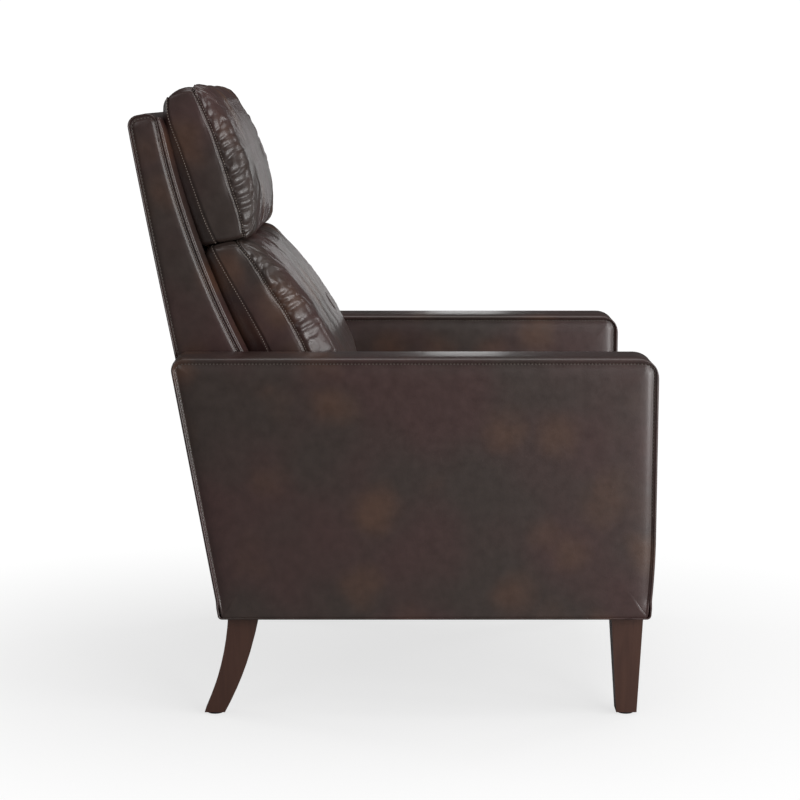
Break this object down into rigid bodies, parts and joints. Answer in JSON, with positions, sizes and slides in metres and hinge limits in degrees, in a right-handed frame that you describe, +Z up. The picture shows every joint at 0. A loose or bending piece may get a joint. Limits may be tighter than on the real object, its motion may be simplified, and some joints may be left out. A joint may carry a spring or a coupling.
{
  "type": "pushback recliner",
  "caption": "Upholstered pushback recliner on wooden legs, with a leaning two-cushion back and a folding footrest.",
  "frame": {"origin": "on the floor, under the middle of the chair's box", "axes": "+X towards the chair's front, +Y towards the sitter's left, +Z up"},
  "size_m": [0.862, 0.72, 1.0402],
  "materials": {
    "leather": "dark espresso brown, semi-gloss, soft tan marbling",
    "dark_wood": "dark reddish-brown stain, satin",
    "frame_wood": "raw pine and plywood",
    "steel": "black painted steel",
    "spring_steel": "bright drawn wire",
    "deck_cloth": "black woven deck cloth",
    "glide": "black moulded glide"
  },
  "bodies": {
    "base": {"arm_frame_left": "frame_wood", "arm_frame_right": "frame_wood", "arm_outer_panel_left": "leather", "arm_outer_panel_right": "leather", "arm_inner_panel_left": "leather", "arm_inner_panel_right": "leather", "arm_band_left": "leather", "arm_band_right": "leather", "front_rail": "frame_wood", "rear_rail": "frame_wood", "corner_blocks": "frame_wood", "front_leg_left": "dark_wood", "front_leg_right": "dark_wood", "rear_leg_left": "dark_wood", "rear_leg_right": "dark_wood", "leg_glides": "glide", "leg_bolts": "steel", "mechanism_base_left": "steel", "mechanism_base_right": "steel", "base_rivets": "steel", "mechanism_screws": "steel"},
    "front_rockers": {"front_rocker_left": "steel", "front_rocker_right": "steel", "front_torque_tube": "steel"},
    "rear_rockers": {"rear_rocker_left": "steel", "rear_rocker_right": "steel", "rear_torque_tube": "steel"},
    "seat": {"seat_plate_left": "steel", "seat_plate_right": "steel", "seat_rivets": "steel", "seat_spacers": "steel", "seat_frame": "frame_wood", "seat_springs": "spring_steel", "seat_spring_clips": "steel", "seat_deck": "deck_cloth", "seat_cushion": "leather"},
    "back": {"back_frame": "frame_wood", "back_springs": "spring_steel", "back_spring_clips": "steel", "back_bracket_left": "steel", "back_bracket_right": "steel", "back_cover": "leather", "back_panel": "leather", "lumbar_cushion": "leather", "headrest_cushion": "leather"},
    "lift_links": {"lift_link_left": "steel", "lift_link_right": "steel"},
    "cross_links": {"cross_link_left": "steel", "cross_link_right": "steel"},
    "footrest": {"carrier_link_left": "steel", "carrier_link_right": "steel", "footrest_brackets": "steel", "footrest_board": "frame_wood", "footrest_pad": "leather"},
    "brace_links": {"brace_link_left": "steel", "brace_link_right": "steel"}
  },
  "joints": [
    {"name": "front_rocker_swing", "type": "hinge", "parent": "base", "child": "front_rockers", "pos_m": [0.23, 0, 0.245], "axis": [0, -1, 0], "range_deg": [-30.01, 0]},
    {"name": "rear_rocker_swing", "type": "hinge", "parent": "base", "child": "rear_rockers", "pos_m": [-0.09, 0, 0.245], "axis": [0, -1, 0], "range_deg": [-30.01, 0]},
    {"name": "seat_glide", "type": "hinge", "parent": "front_rockers", "child": "seat", "pos_m": [0.18351, 0, 0.34469], "axis": [0, -1, 0], "range_deg": [0, 30.01]},
    {"name": "back_recline", "type": "hinge", "parent": "seat", "child": "back", "pos_m": [-0.215, 0, 0.395], "axis": [0, -1, 0], "range_deg": [0, 30]},
    {"name": "footrest_lift", "type": "hinge", "parent": "seat", "child": "lift_links", "pos_m": [0.33, 0, 0.365], "axis": [0, -1, 0], "range_deg": [0, 80.01]},
    {"name": "footrest_cross", "type": "hinge", "parent": "lift_links", "child": "cross_links", "pos_m": [0.32216, 0, 0.27534], "axis": [0, -1, 0], "range_deg": [-160.01, 0]},
    {"name": "footrest_swing", "type": "hinge", "parent": "cross_links", "child": "footrest", "pos_m": [0.33933, 0, 0.36369], "axis": [0, -1, 0], "range_deg": [0, 160.01]},
    {"name": "footrest_brace", "type": "hinge", "parent": "lift_links", "child": "brace_links", "pos_m": [0.31431, 0, 0.18568], "axis": [0, -1, 0], "range_deg": [-160.01, 0]}
  ],
  "couplings": [
    {"joint": "front_rocker_swing", "follows": "back_recline", "ratio": -1},
    {"joint": "rear_rocker_swing", "follows": "back_recline", "ratio": -1},
    {"joint": "seat_glide", "follows": "back_recline", "ratio": 1},
    {"joint": "footrest_lift", "follows": "back_recline", "ratio": 2.6667},
    {"joint": "footrest_cross", "follows": "back_recline", "ratio": -5.3333},
    {"joint": "footrest_swing", "follows": "back_recline", "ratio": 5.3333},
    {"joint": "footrest_brace", "follows": "back_recline", "ratio": -5.3333}
  ]
}
